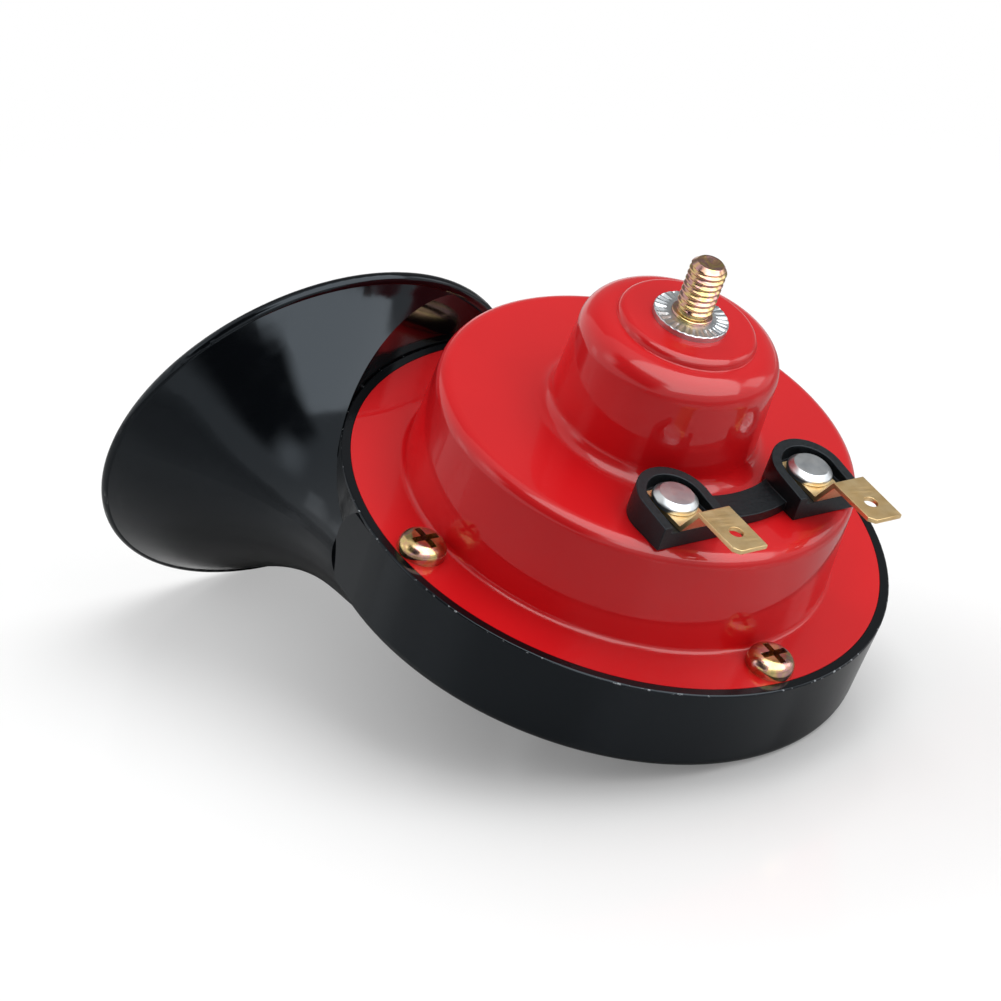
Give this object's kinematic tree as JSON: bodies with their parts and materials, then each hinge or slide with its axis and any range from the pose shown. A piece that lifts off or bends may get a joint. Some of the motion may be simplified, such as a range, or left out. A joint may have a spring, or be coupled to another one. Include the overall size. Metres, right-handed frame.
{
  "type": "car horn",
  "caption": "Electric snail horn: black moulded round cup with a spiral duct and flared bell, red stepped steel cover with a threaded stud and blade terminals.",
  "frame": {"origin": "on the axis of the fixing stud, level with the outer face of the cover's flange", "axes": "+Z out along the fixing stud, the bell's mouth faces -Y, +X on the side of the cup the bell leaves"},
  "size_m": [0.1068, 0.1042, 0.1051],
  "materials": {
    "black_plastic": "moulded, glossy",
    "red_enamel": "glossy enamel",
    "yellow_zinc": "zinc plated, yellow passivated",
    "bright_zinc": "bright zinc plated",
    "black_nylon": "satin moulded",
    "brass": "satin stamped strip",
    "gasket_paper": "compressed fibre",
    "spring_steel": "rolled",
    "soft_iron": "turned",
    "phenolic": "laminate",
    "white_nylon": "moulded",
    "enamelled_copper": "enamelled wire",
    "contact_metal": "bright button"
  },
  "bodies": {
    "root": {"trumpet": "black_plastic", "cup": "black_plastic", "shell": "red_enamel", "shell_screws": "yellow_zinc", "mounting_stud": "yellow_zinc", "serrated_washer": "bright_zinc", "terminal_insulator": "black_nylon", "terminal_tab_left": "brass", "terminal_tab_right": "brass", "terminal_rivet_left": "bright_zinc", "terminal_rivet_right": "bright_zinc", "diaphragm_gasket": "gasket_paper", "diaphragm": "spring_steel", "armature": "soft_iron", "armature_washer_upper": "bright_zinc", "armature_washer_lower": "bright_zinc", "armature_nut": "bright_zinc", "push_ring": "phenolic", "pole_core": "soft_iron", "coil_bobbin": "white_nylon", "coil_winding": "enamelled_copper", "flux_plate": "soft_iron", "breaker_spring": "spring_steel", "moving_contact": "contact_metal", "breaker_arm": "soft_iron", "fixed_contact": "contact_metal", "breaker_insulator_upper": "phenolic", "breaker_insulator_middle": "phenolic", "breaker_insulator_lower": "phenolic", "breaker_screws": "bright_zinc", "inner_insulator": "phenolic", "coil_lead_terminal": "enamelled_copper", "coil_lead_breaker": "enamelled_copper", "breaker_lead": "enamelled_copper"}
  },
  "joints": []
}
